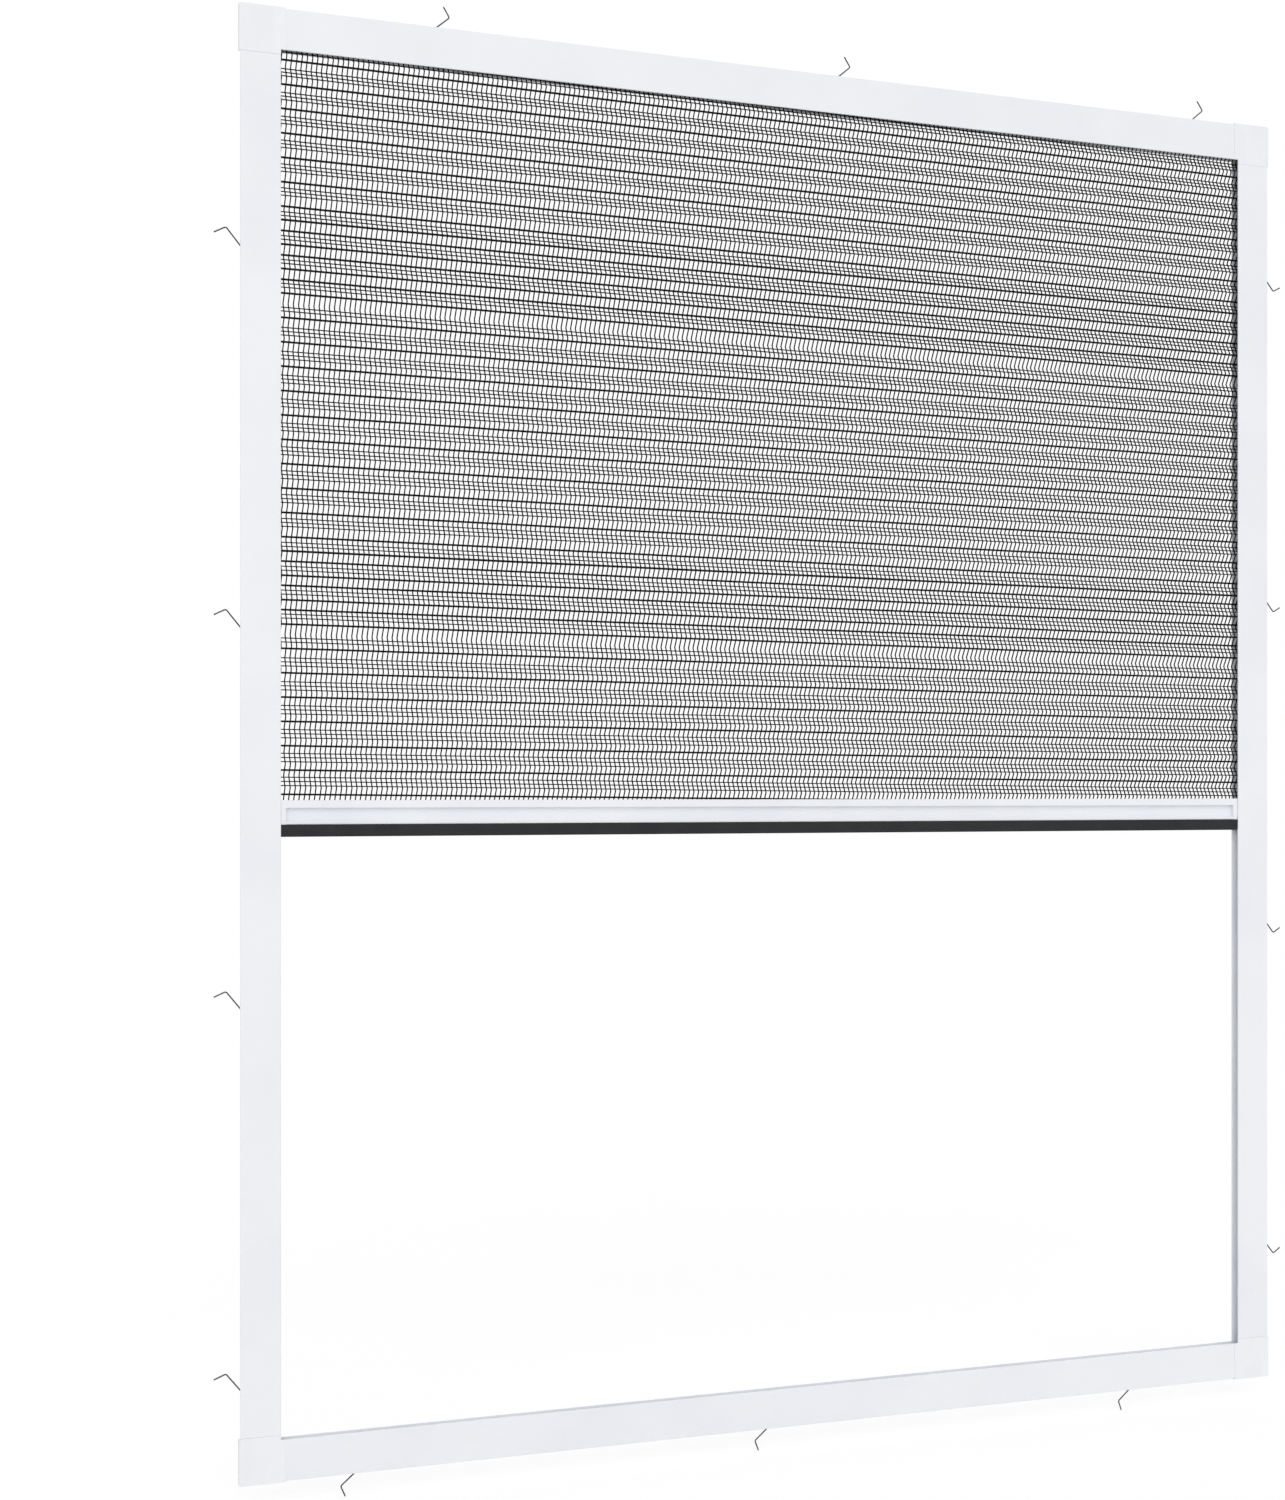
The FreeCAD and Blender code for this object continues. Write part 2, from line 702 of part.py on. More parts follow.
doc.recompute()
for item in doc.Objects:
    if "Invalid" in item.State or "Error" in item.State:
        raise RuntimeError(f"{item.Label} failed: {item.State}")
for body in SUB_PARTS:
    if body.Shape.isNull() or not body.Shape.isValid() or not body.Shape.Solids:
        raise RuntimeError(f"{body.Label} has no valid solid")
for body in SUB_PARTS:
    body.Shape.exportStep(f"parts/{body.Label}.step")
    box = body.Shape.BoundBox
    print(
        f"{body.Label}: {len(body.Shape.Solids)} solid, {body.Shape.Volume:.0f} mm3, "
        f"x {box.XMin:.1f} {box.XMax:.1f} y {box.YMin:.1f} {box.YMax:.1f} z {box.ZMin:.1f} {box.ZMax:.1f}"
    )
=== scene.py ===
import logging
import math
from dataclasses import dataclass, field
from enum import Enum
from typing import Any, Dict, Iterable, List, Mapping, Optional, Sequence, Tuple, Union

import bmesh
import bpy
import numpy as np
from mathutils import Matrix, Vector


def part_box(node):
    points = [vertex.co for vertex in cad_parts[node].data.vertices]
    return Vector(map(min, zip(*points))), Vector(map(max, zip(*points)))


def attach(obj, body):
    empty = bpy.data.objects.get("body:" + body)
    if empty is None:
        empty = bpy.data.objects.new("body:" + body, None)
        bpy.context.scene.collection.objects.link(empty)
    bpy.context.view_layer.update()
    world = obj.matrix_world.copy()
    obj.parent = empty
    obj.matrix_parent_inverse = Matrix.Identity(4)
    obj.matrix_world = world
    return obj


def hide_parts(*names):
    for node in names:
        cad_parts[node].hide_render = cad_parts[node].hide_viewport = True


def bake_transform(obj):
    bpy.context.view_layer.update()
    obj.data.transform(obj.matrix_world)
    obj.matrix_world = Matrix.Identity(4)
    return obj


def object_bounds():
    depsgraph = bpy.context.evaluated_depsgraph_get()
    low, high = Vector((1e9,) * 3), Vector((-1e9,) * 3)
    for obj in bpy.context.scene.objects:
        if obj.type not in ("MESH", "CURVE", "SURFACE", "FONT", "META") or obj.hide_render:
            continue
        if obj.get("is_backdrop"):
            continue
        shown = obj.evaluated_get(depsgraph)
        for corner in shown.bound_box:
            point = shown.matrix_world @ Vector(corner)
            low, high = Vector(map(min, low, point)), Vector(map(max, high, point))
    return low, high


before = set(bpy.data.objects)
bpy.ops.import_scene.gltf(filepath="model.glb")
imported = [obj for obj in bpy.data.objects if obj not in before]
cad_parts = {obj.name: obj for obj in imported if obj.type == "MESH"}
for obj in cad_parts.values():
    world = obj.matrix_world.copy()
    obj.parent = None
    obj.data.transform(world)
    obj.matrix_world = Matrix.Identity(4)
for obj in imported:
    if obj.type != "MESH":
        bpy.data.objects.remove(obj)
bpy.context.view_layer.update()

LOG = logging.getLogger("window_screen")

Colour = Tuple[float, float, float]
Triple = Tuple[float, float, float]


def linear(red: int, green: int, blue: int) -> Colour:
    """Turns an sRGB colour into the linear colour that shaders take.

    Args:
        red: Red level from 0 to 255.
        green: Green level from 0 to 255.
        blue: Blue level from 0 to 255.

    Returns:
        The three linear levels from 0 to 1.
    """
    def channel(level: int) -> float:
        """Linear level of one sRGB level."""
        share = level / 255
        return share / 12.92 if share <= 0.04045 else ((share + 0.055) / 1.055) ** 2.4

    return channel(red), channel(green), channel(blue)


# Shader trees


@dataclass(frozen=True)
class Lumps:
    """A noise: its lumps in a metre, its finer layers and their strength, and where it fades in."""

    scale: float
    detail: float = 2.0
    roughness: float = 0.5
    low: float = 0.0
    high: float = 1.0


class Signal:
    """One output of a shader tree, on which arithmetic adds Math nodes."""

    def __init__(self, tree: "ShaderTree", socket: bpy.types.NodeSocket) -> None:
        """Wraps a socket.

        Args:
            tree: The tree that the socket belongs to.
            socket: The output socket.
        """
        self.tree = tree
        self.socket = socket

    def _math(self, operation: str, *operands: Union["Signal", float]) -> "Signal":
        """Adds a Math node.

        Args:
            operation: Blender's name of the operation.
            operands: What goes into the node, in order.

        Returns:
            The node's result.
        """
        node = self.tree.add("ShaderNodeMath", {"operation": operation}, dict(enumerate(operands)))
        return Signal(self.tree, node.outputs[0])

    def __add__(self, other: Union["Signal", float]) -> "Signal":
        """The sum."""
        return self._math("ADD", self, other)

    def __radd__(self, other: float) -> "Signal":
        """The sum, with a number in front."""
        return self._math("ADD", other, self)

    def __sub__(self, other: Union["Signal", float]) -> "Signal":
        """The difference."""
        return self._math("SUBTRACT", self, other)

    def __rsub__(self, other: float) -> "Signal":
        """The difference, with a number in front."""
        return self._math("SUBTRACT", other, self)

    def __mul__(self, other: Union["Signal", float]) -> "Signal":
        """The product."""
        return self._math("MULTIPLY", self, other)

    def __rmul__(self, other: float) -> "Signal":
        """The product, with a number in front."""
        return self._math("MULTIPLY", other, self)

    def at_most(self, other: Union["Signal", float]) -> "Signal":
        """The smaller of the two."""
        return self._math("MINIMUM", self, other)

    def step(self, low: float, high: float) -> "Signal":
        """A soft step that is 0 below low and 1 above high.

        Args:
            low: Where the step starts.
            high: Where the step ends.

        Returns:
            The step's height.
        """
        node = self.tree.add(
            "ShaderNodeMapRange",
            {"interpolation_type": "SMOOTHSTEP", "clamp": True},
            {"Value": self, "From Min": low, "From Max": high},
        )
        return Signal(self.tree, node.outputs[0])


class ShaderTree:
    """The node tree of a material or of the world."""

    def __init__(self, tree: bpy.types.NodeTree) -> None:
        """Empties a tree to build in it.

        Args:
            tree: The tree, whose old nodes go.
        """
        self.tree = tree
        tree.nodes.clear()

    def add(
        self,
        kind: str,
        settings: Optional[Mapping[str, Any]] = None,
        inputs: Optional[Mapping[Union[str, int], Any]] = None,
    ) -> bpy.types.Node:
        """Adds a node.

        Args:
            kind: The node's type.
            settings: The node's properties.
            inputs: Values for its sockets, or signals and sockets that are linked to them.

        Returns:
            The new node.
        """
        node = self.tree.nodes.new(kind)
        for name, setting in (settings or {}).items():
            setattr(node, name, setting)
        for name, given in (inputs or {}).items():
            source = given.socket if isinstance(given, Signal) else given
            if isinstance(source, bpy.types.NodeSocket):
                self.tree.links.new(source, node.inputs[name])
            else:
                node.inputs[name].default_value = source
        return node

    def result(
        self,
        kind: str,
        output: Union[str, int],
        settings: Optional[Mapping[str, Any]] = None,
        inputs: Optional[Mapping[Union[str, int], Any]] = None,
    ) -> Signal:
        """Adds a node and gives one of its outputs.

        Args:
            kind: The node's type.
            output: Name or number of the wanted output.
            settings: The node's properties.
            inputs: Values for its sockets, or signals and sockets that are linked to them.

        Returns:
            The wanted output.
        """
        return Signal(self, self.add(kind, settings, inputs).outputs[output])

    def place(self, coordinate: str = "Object", stretch: Triple = (1, 1, 1)) -> Signal:
        """Gives a position on the surface.

        Args:
            coordinate: Which output of Texture Coordinate is read.
            stretch: What each of its axes is multiplied by.

        Returns:
            The position.
        """
        here = self.result("ShaderNodeTexCoord", coordinate)
        if stretch == (1, 1, 1):
            return here
        return self.result(
            "ShaderNodeVectorMath", 0, {"operation": "MULTIPLY"}, {0: here, 1: stretch}
        )

    def noise(self, where: Signal, lumps: Lumps) -> Signal:
        """Adds a noise.

        Args:
            where: The position at which it is read.
            lumps: Its lumps.

        Returns:
            The noise, from 0 to 1.
        """
        inputs = {
            "Vector": where, "Scale": lumps.scale, "Detail": lumps.detail, "Roughness": lumps.roughness,
        }
        return self.result("ShaderNodeTexNoise", 0, None, inputs)

    def patches(self, where: Signal, lumps: Lumps) -> Signal:
        """Adds a noise that is 0 below its low level and 1 above its high one.

        Args:
            where: The position at which it is read.
            lumps: Its lumps.

        Returns:
            The patches, from 0 to 1.
        """
        return self.noise(where, lumps).step(lumps.low, lumps.high)

    def blend(self, share: Signal, first: Colour, second: Union[Colour, Signal]) -> Signal:
        """Mixes two colours.

        Args:
            share: Share of the second colour.
            first: The colour at share 0.
            second: The colour at share 1.

        Returns:
            The mixed colour.
        """
        def socket_value(colour: Union[Colour, Signal]) -> Any:
            """A colour as Mix takes it."""
            return colour if isinstance(colour, Signal) else (*colour, 1.0)

        mix = self.add("ShaderNodeMix", {"data_type": "RGBA"}, {0: share})
        for number, colour in ((6, first), (7, second)):
            given = socket_value(colour)
            if isinstance(given, Signal):
                self.tree.links.new(given.socket, mix.inputs[number])
            else:
                mix.inputs[number].default_value = given
        return Signal(self, mix.outputs[2])

    def bump(self, height: Signal, depth: float, strength: float = 0.5) -> Signal:
        """Turns a height into a shading normal.

        Args:
            height: The height, from 0 to 1.
            depth: What 1 stands for, in metres.
            strength: How much of the bump is shown.

        Returns:
            The normal.
        """
        inputs = {"Height": height, "Distance": depth, "Strength": strength}
        return self.result("ShaderNodeBump", 0, None, inputs)


# Finishes


@dataclass(frozen=True)
class Finish:
    """What all finishes share: a name and a build step that each of them fills in."""

    name: str

    def paint(self, tree: ShaderTree) -> Mapping[str, Any]:
        """Builds the nodes of the finish.

        Args:
            tree: The tree to build in.

        Returns:
            The inputs of the Principled shader.
        """
        raise NotImplementedError(self.name)

    def make(self) -> bpy.types.Material:
        """Builds the material.

        Returns:
            The new material.
        """
        material = bpy.data.materials.new(self.name)
        material.use_nodes = True
        tree = ShaderTree(material.node_tree)
        shader = tree.add("ShaderNodeBsdfPrincipled", None, self.paint(tree))
        tree.add("ShaderNodeOutputMaterial", None, {"Surface": shader.outputs[0]})
        return material


@dataclass(frozen=True)
class PowderCoat(Finish):
    """Baked powder coat on metal: orange peel, faint clouds in the tone and a few specks of dust."""

    colour: Colour = linear(238, 240, 244)
    cloud: Colour = linear(231, 233, 238)
    dust: Colour = linear(196, 194, 190)
    clouds: Lumps = Lumps(9.0, 3.0, low=0.35, high=0.75)
    cloud_share: float = 0.7
    specks: Lumps = Lumps(1500.0, 1.0, low=0.735, high=0.80)
    speck_share: float = 0.3
    peel: Lumps = Lumps(620.0, 2.0, 0.6)
    peel_depth: float = 0.00006
    roughness: float = 0.34
    peel_roughness: float = 0.10
    speck_roughness: float = 0.2

    def paint(self, tree: ShaderTree) -> Mapping[str, Any]:
        """Builds the coat's nodes.

        Args:
            tree: The tree to build in.

        Returns:
            The inputs of the Principled shader.
        """
        here = tree.place()
        clouds = tree.patches(here, self.clouds)
        specks = tree.patches(here, self.specks)
        peel = tree.noise(here, self.peel)
        tone = tree.blend(clouds * self.cloud_share, self.colour, self.cloud)
        return {
            "Base Color": tree.blend(1 - specks * self.speck_share, self.dust, tone),
            "Roughness": self.roughness + peel * self.peel_roughness + specks * self.speck_roughness,
            "Normal": tree.bump(peel, self.peel_depth),
        }


@dataclass(frozen=True)
class MouldedPlastic(Finish):
    """Injection-moulded plastic: a fine eroded grain and faint flow streaks."""

    colour: Colour = linear(238, 240, 244)
    streak: Colour = linear(233, 235, 239)
    roughness: float = 0.40
    grain: Lumps = Lumps(2400.0, 2.0, 0.7)
    grain_roughness: float = 0.12
    grain_depth: float = 0.00003
    flow: Lumps = Lumps(60.0, 3.0, low=0.4, high=0.7)
    flow_stretch: Triple = (1.0, 1.0, 0.35)
    flow_share: float = 0.6

    def paint(self, tree: ShaderTree) -> Mapping[str, Any]:
        """Builds the plastic's nodes.

        Args:
            tree: The tree to build in.

        Returns:
            The inputs of the Principled shader.
        """
        here = tree.place()
        flow = tree.patches(tree.place("Object", self.flow_stretch), self.flow)
        grain = tree.noise(here, self.grain)
        return {
            "Base Color": tree.blend(flow * self.flow_share, self.colour, self.streak),
            "Roughness": self.roughness + grain * self.grain_roughness,
            "Normal": tree.bump(grain, self.grain_depth),
        }


@dataclass(frozen=True)
class Rubber(Finish):
    """Extruded black rubber: fine lengthwise die lines, a matt bloom and pale dust on it."""

    colour: Colour = linear(30, 31, 33)
    bloom: Colour = linear(42, 43, 46)
    shine: float = 0.3
    lines: Lumps = Lumps(900.0)
    line_stretch: Triple = (0.02, 1.0, 1.0)
    line_depth: float = 0.00008
    line_strength: float = 0.6
    blooms: Lumps = Lumps(45.0, 4.0, low=0.35, high=0.8)
    bloom_share: float = 0.6
    dust: Lumps = Lumps(1900.0, 1.0, low=0.70, high=0.78)
    dust_share: float = 0.4
    roughness: float = 0.55
    line_roughness: float = 0.2

    def paint(self, tree: ShaderTree) -> Mapping[str, Any]:
        """Builds the rubber's nodes.

        Args:
            tree: The tree to build in.

        Returns:
            The inputs of the Principled shader.
        """
        here = tree.place()
        lines = tree.noise(tree.place("Object", self.line_stretch), self.lines)
        bloom = tree.patches(here, self.blooms)
        dust = tree.patches(here, self.dust)
        pale = (bloom * self.bloom_share + dust * self.dust_share).at_most(1.0)
        return {
            "Base Color": tree.blend(pale, self.colour, self.bloom),
            "Roughness": self.roughness + lines * self.line_roughness,
            "Specular IOR Level": self.shine,
            "Normal": tree.bump(lines, self.line_depth, self.line_strength),
        }


@dataclass(frozen=True)
class NetThread(Finish):
    """Black polyester thread: tight filaments round it and a dull fibre sheen."""

    colour: Colour = linear(11, 11, 12)
    pale: Colour = linear(24, 24, 26)
    shine: float = 0.15
    filaments: Lumps = Lumps(5200.0, 1.0)
    filament_depth: float = 0.00005
    filament_share: float = 0.3
    fades: Lumps = Lumps(30.0, 3.0, low=0.4, high=0.8)
    fade_share: float = 0.5
    roughness: float = 0.62
    filament_roughness: float = 0.25

    def paint(self, tree: ShaderTree) -> Mapping[str, Any]:
        """Builds the thread's nodes.

        Args:
            tree: The tree to build in.

        Returns:
            The inputs of the Principled shader.
        """
        here = tree.place()
        filaments = tree.noise(here, self.filaments)
        fade = tree.patches(here, self.fades)
        share = fade * self.fade_share + filaments * self.filament_share
        return {
            "Base Color": tree.blend(share, self.colour, self.pale),
            "Roughness": self.roughness + filaments * self.filament_roughness,
            "Specular IOR Level": self.shine,
            "Normal": tree.bump(filaments, self.filament_depth),
        }


@dataclass(frozen=True)
class SpringWire(Finish):
    """Drawn spring steel: lengthwise drawing marks, a grey oxide film and brighter rubbed patches."""

    bright: Colour = linear(84, 84, 86)
    film: Colour = linear(52, 52, 51)
    marks: Lumps = Lumps(4.0, 3.0)
    mark_stretch: Triple = (14.0, 0.6, 1.0)
    mark_depth: float = 0.00002
    films: Lumps = Lumps(380.0, 3.0, low=0.35, high=0.7)
    film_share: float = 0.8
    roughness: float = 0.26
    mark_roughness: float = 0.14
    film_roughness: float = 0.12

    def paint(self, tree: ShaderTree) -> Mapping[str, Any]:
        """Builds the wire's nodes.

        Args:
            tree: The tree to build in.

        Returns:
            The inputs of the Principled shader.
        """
        marks = tree.noise(tree.place("UV", self.mark_stretch), self.marks)
        film = tree.patches(tree.place(), self.films)
        return {
            "Base Color": tree.blend(film * self.film_share, self.bright, self.film),
            "Metallic": 1.0,
            "Roughness": self.roughness + marks * self.mark_roughness + film * self.film_roughness,
            "Normal": tree.bump(marks, self.mark_depth),
        }


class Slot(Enum):
    """The record's material slots."""

    METAL = "white_coated_aluminium"
    PLASTIC = "white_plastic"
    CLAMP = "clamp_plastic"
    SEAL = "black_rubber"
    NET = "black_net"
    WIRE = "spring_steel"


FINISHES: Mapping[Slot, Finish] = {
    Slot.METAL: PowderCoat("powder_coat"),
    Slot.PLASTIC: MouldedPlastic("moulded_plastic"),
    Slot.CLAMP: MouldedPlastic(
        "clamp_plastic", linear(222, 223, 225), linear(214, 215, 218), 0.5, Lumps(1500.0, 2.0, 0.7)
    ),
    Slot.SEAL: Rubber("seal_rubber"),
    Slot.NET: NetThread("net_thread"),
    Slot.WIRE: SpringWire("spring_wire"),
}


@dataclass
class Paintbox:
    """Makes each finish once and hands it out."""

    made: Dict[Slot, bpy.types.Material] = field(default_factory=dict)

    def get(self, slot: Slot) -> bpy.types.Material:
        """Gives the material of a slot.

        Args:
            slot: The slot.

        Returns:
            Its material, made on the first call.
        """
        if slot not in self.made:
            self.made[slot] = FINISHES[slot].make()
        return self.made[slot]


# Pieces


def new_piece(
    name: str,
    points: Sequence[Sequence[float]],
    faces: Iterable[Sequence[int]],
    material: bpy.types.Material,
) -> bpy.types.Object:
    """Makes a smooth-shaded mesh object.

    Args:
        name: Name of the piece.
        points: Its vertices, in metres.
        faces: Its faces as numbers of vertices.
        material: Its material.

    Returns:
        The new object, linked to the scene.
    """
    mesh = bpy.data.meshes.new(name)
    mesh.from_pydata([tuple(point) for point in points], [], [tuple(face) for face in faces])
    mesh.polygons.foreach_set("use_smooth", [True] * len(mesh.polygons))
    mesh.materials.append(material)
    mesh.update()
    piece = bpy.data.objects.new(name, mesh)
    bpy.context.scene.collection.objects.link(piece)
    return piece


@dataclass
class Profiles:
    """The frame, bar and seal, whose solids stay as they are and get their finish."""

    paintbox: Paintbox
    metal: Tuple[str, ...] = ("left_stile", "right_stile", "top_rail", "bottom_rail", "pull_bar")
    clamps: Tuple[str, ...] = ("bar_net_clamp", "top_net_clamp")
    seals: Tuple[str, ...] = ("bar_seal",)
    plastic_starts: Tuple[str, ...] = ("corner_", "bar_cap_")
    plastic_inside: str = "_hook_holder_"

    def slot_of(self, name: str) -> Optional[Slot]:
        """Finds what a node is made of.

        Args:
            name: Name of the node.

        Returns:
            The node's slot, or None for a node that a finer piece stands for.
        """
        if name in self.metal:
            return Slot.METAL
        if name in self.clamps:
            return Slot.CLAMP
        if name in self.seals:
            return Slot.SEAL
        if name.startswith(self.plastic_starts) or self.plastic_inside in name:
            return Slot.PLASTIC
        return None

    def dress(self) -> None:
        """Gives every solid that stays its finish."""
        for name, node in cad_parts.items():
            slot = self.slot_of(name)
            if slot is None:
                continue
            node.data.materials.clear()
            node.data.materials.append(self.paintbox.get(slot))
            LOG.info("dressed %s as %s", name, slot.value)


@dataclass(frozen=True)
class NetPattern:
    """Where the threads and folds of the pleated net lie, in metres.

    The net has even pleats of two flanks each. Its crosswise threads don't divide a pleat evenly, so
    from pleat to pleat they wander down the flanks, and every so many pleats one more comes in.
    """

    top: float = 0.5735
    foot: float = -0.0463
    half_width: float = 0.4725
    first_front: float = 0.5590
    pitch: float = 0.01930
    pleats: int = 31
    half_depth: float = 0.0026
    cycle: int = 14
    fine_spacing: float = 0.00345
    fine_most: int = 3
    fine_phase: int = 3
    bold_starts: Tuple[int, ...] = (-7, 7, 21)
    bold_drift: float = 0.00056
    flank_end: float = 0.0093
    upright_pitch: float = 0.004325
    upright_phase: float = 0.0032
    tilt: float = 0.0099
    pivot: float = 0.260
    upright_width: float = 0.00090
    upright_depth: float = 0.00080
    fine_size: float = 0.00105
    bold_height: float = 0.00180
    bold_depth: float = 0.00100

    @property
    def last_point(self) -> int:
        """Number of the course's last point, which is its end below the bar's clamp."""
        return 2 * self.pleats + 4

    def course(self) -> np.ndarray:
        """Lists the course of an upright thread of the straight net, past both its clamps.

        Returns:
            Depth and height at each fold, the front fold of pleat -1 first, and of the end.
        """
        half_pitch = self.pitch / 2
        folds = [
            (sign * self.half_depth, self.first_front - self.pitch * pleat - half_pitch * (sign > 0))
            for pleat in range(-1, self.pleats + 1)
            for sign in (-1, 1)
        ]
        return np.array([*folds, (self.half_depth, folds[-1][1] - half_pitch)])

    def on_flank(self, pleat: int) -> List[Tuple[bool, float, bool]]:
        """Lists the crosswise threads of one pleat, counted from the topmost whole one.

        Args:
            pleat: Number of the pleat.

        Returns:
            For each thread, whether it lies on the rear-facing flank, its share of the way down that
            flank, and whether it is a bold one.
        """
        half_pitch = self.pitch / 2
        found = []
        for start in self.bold_starts:
            below = self.bold_drift * (pleat - start)
            if 0 <= below <= self.flank_end:
                found.append((False, below / half_pitch, True))
        shift = ((pleat + self.fine_phase) % self.cycle) / self.cycle
        for number in range(self.fine_most):
            below = self.fine_spacing * (shift + number)
            if below <= self.flank_end:
                found.append((True, below / half_pitch, False))
        return found

    def uprights(self) -> np.ndarray:
        """Lists where the upright threads stand across the net.

        Returns:
            Their places from left to right, at the height about which the net is turned.
        """
        last = int((self.half_width - self.upright_phase) / self.upright_pitch)
        first = -int((self.half_width + self.upright_phase) / self.upright_pitch)
        return self.upright_phase + self.upright_pitch * np.arange(first, last + 1)

    def hung(self, points: np.ndarray) -> np.ndarray:
        """Turns points of the straight net to where it hangs, slightly askew.

        Args:
            points: The points.

        Returns:
            The turned points.
        """
        turned = points.copy()
        turned[..., 0] += self.tilt * (points[..., 2] - self.pivot)
        turned[..., 2] -= self.tilt * points[..., 0]
        return turned


@dataclass
class PleatedNet:
    """The black net: zigzag threads from rail to bar, crossed by bold and fine threads."""

    paintbox: Paintbox
    pattern: NetPattern = NetPattern()
    seed: int = 7
    waviness: float = 0.00004
    spans: int = 24
    sides: int = 6
    near_cut: float = 1e-7

    def normals(self, course: np.ndarray) -> np.ndarray:
        """Works out the mitred normal at each point of a thread's course.

        Args:
            course: The course as depth and height.

        Returns:
            Depth and height of each normal.
        """
        steps = np.diff(course, axis=0)
        steps /= np.linalg.norm(steps, axis=1)[:, None]
        sides = np.stack([-steps[:, 1], steps[:, 0]], axis=1)
        before = np.vstack([sides[:1], sides])
        after = np.vstack([sides, sides[-1:]])
        middle = before + after
        middle /= np.linalg.norm(middle, axis=1)[:, None]
        return middle / (middle * after).sum(axis=1)[:, None]

    def bands(self) -> List[Tuple[int, int]]:
        """Splits the course at its front folds into one band a pleat.

        Returns:
            First and last point of each band. A band spans two flanks, and the first and the last
            also take those at the clamps.
        """
        last = self.pattern.last_point
        ends = [0, *range(4, last - 3, 2), last]
        return list(zip(ends[:-1], ends[1:]))

    def upright_threads(
        self, first: int, last: int, course: np.ndarray, shifts: np.ndarray
    ) -> Tuple[np.ndarray, np.ndarray]:
        """Builds the upright threads of one band, open at the ends where they run on.

        Args:
            first: First point of the band.
            last: Last point of the band.
            course: The course of a thread.
            shifts: Sideways drift of each thread at each point of the course.

        Returns:
            Vertices and faces.
        """
        pattern = self.pattern
        middles = pattern.uprights()
        normals = self.normals(course)[first:last + 1]
        part = course[first:last + 1]
        half_width, half_depth = pattern.upright_width / 2, pattern.upright_depth / 2
        ring = (
            (-half_width, -half_depth), (half_width, -half_depth),
            (half_width, half_depth), (-half_width, half_depth),
        )
        points = np.zeros((len(middles), len(part), 4, 3))
        for place, (across, deep) in enumerate(ring):
            points[:, :, place, 0] = middles[:, None] + shifts[:, first:last + 1] + across
            points[:, :, place, 1] = part[:, 0] + normals[:, 0] * deep
            points[:, :, place, 2] = part[:, 1] + normals[:, 1] * deep
        points = pattern.hung(points)
        corner = np.arange(points[..., 0].size).reshape(points.shape[:3])
        upper, lower = corner[:, :-1], corner[:, 1:]
        faces = np.stack(
            [upper, np.roll(upper, -1, axis=2), np.roll(lower, -1, axis=2), lower], axis=-1
        )
        return points.reshape(-1, 3), faces.reshape(-1, 4)

    def crossing(
        self, upper: np.ndarray, lower: np.ndarray, share: float, bold: bool, random: np.random.Generator
    ) -> Tuple[np.ndarray, np.ndarray]:
        """Builds one thread that runs across the net on a flank.

        Args:
            upper: Point of the course at the flank's upper fold.
            lower: Point of the course at its lower fold.
            share: Share of the way down the flank.
            bold: Whether it is a bold thread.
            random: Source of its slight waviness.

        Returns:
            Vertices and faces.
        """
        pattern = self.pattern
        tall = pattern.bold_height if bold else pattern.fine_size
        deep = pattern.bold_depth if bold else pattern.fine_size
        along = (upper - lower) / np.linalg.norm(upper - lower)
        through = np.array([along[1], -along[0]])
        centre = upper + (lower - upper) * share
        across = np.linspace(-pattern.half_width, pattern.half_width, self.spans + 1)
        waves = random.normal(0.0, self.waviness, across.size)
        points = np.zeros((across.size, self.sides, 3))
        for place in range(self.sides):
            angle = math.tau * place / self.sides
            offset = along * math.cos(angle) * tall / 2 + through * math.sin(angle) * deep / 2
            points[:, place, 0] = across
            points[:, place, 1] = centre[0] + offset[0] + waves * along[0]
            points[:, place, 2] = centre[1] + offset[1] + waves * along[1]
        points = pattern.hung(points)
        corner = np.arange(across.size * self.sides).reshape(across.size, self.sides)
        left, right = corner[:-1], corner[1:]
        faces = np.stack(
            [left, right, np.roll(right, -1, axis=1), np.roll(left, -1, axis=1)], axis=-1
        )
        return points.reshape(-1, 3), faces.reshape(-1, 4)

    def crossings(self, first: int, last: int) -> List[Tuple[int, float, bool]]:
        """Lists the crosswise threads of one band.

        Args:
            first: First point of the band.
            last: Last point of the band.

        Returns:
            For each thread, the point above it, its share of the way to the next point, and whether
            it is bold.
        """
        return [
            (point, share, bold)
            for point in range(first, min(last, self.pattern.last_point - 1))
            for rear, share, bold in self.pattern.on_flank(point // 2 - 1)
            if rear == (point % 2 == 1)
        ]

    def trim(self, piece: bpy.types.Object) -> None:
        """Cuts a band off level inside the net's two clamps.

        Args:
            piece: The band.
        """
        shape = bmesh.new()
        shape.from_mesh(piece.data)
        for height, upward in ((self.pattern.top, 1), (self.pattern.foot, -1)):
            bmesh.ops.bisect_plane(
                shape, geom=[*shape.verts, *shape.edges, *shape.faces], dist=self.near_cut,
                plane_co=(0, 0, height), plane_no=(0, 0, upward), clear_outer=True,
            )
        shape.to_mesh(piece.data)
        shape.free()

    def follow(self, piece: bpy.types.Object, upper: float, lower: float) -> None:
        """Works out where a band's blend between the still rail and the moving bar would start and how
        long it is, then bakes the band's place into its mesh.

        Args:
            piece: The band.
            upper: Height of its upper end at the middle of the net.
            lower: Height of its lower end at the middle of the net.
        """
        def eased(share: float) -> float:
            """Share of the blend's length at which its smooth step reaches a share."""
            return 0.5 - math.sin(math.asin(1 - 2 * share) / 3)

        pattern = self.pattern
        slack = pattern.tilt * pattern.half_width
        still, moving = pattern.top - slack, pattern.foot + slack
        upper, lower = min(upper, still), max(lower, moving)
        begin = eased((still - upper) / (still - moving))
        end = eased((still - lower) / (still - moving))
        length = (upper - lower) / (end - begin)
        start = upper + begin * length
        -pattern.tilt * length
        start - length
        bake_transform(piece)

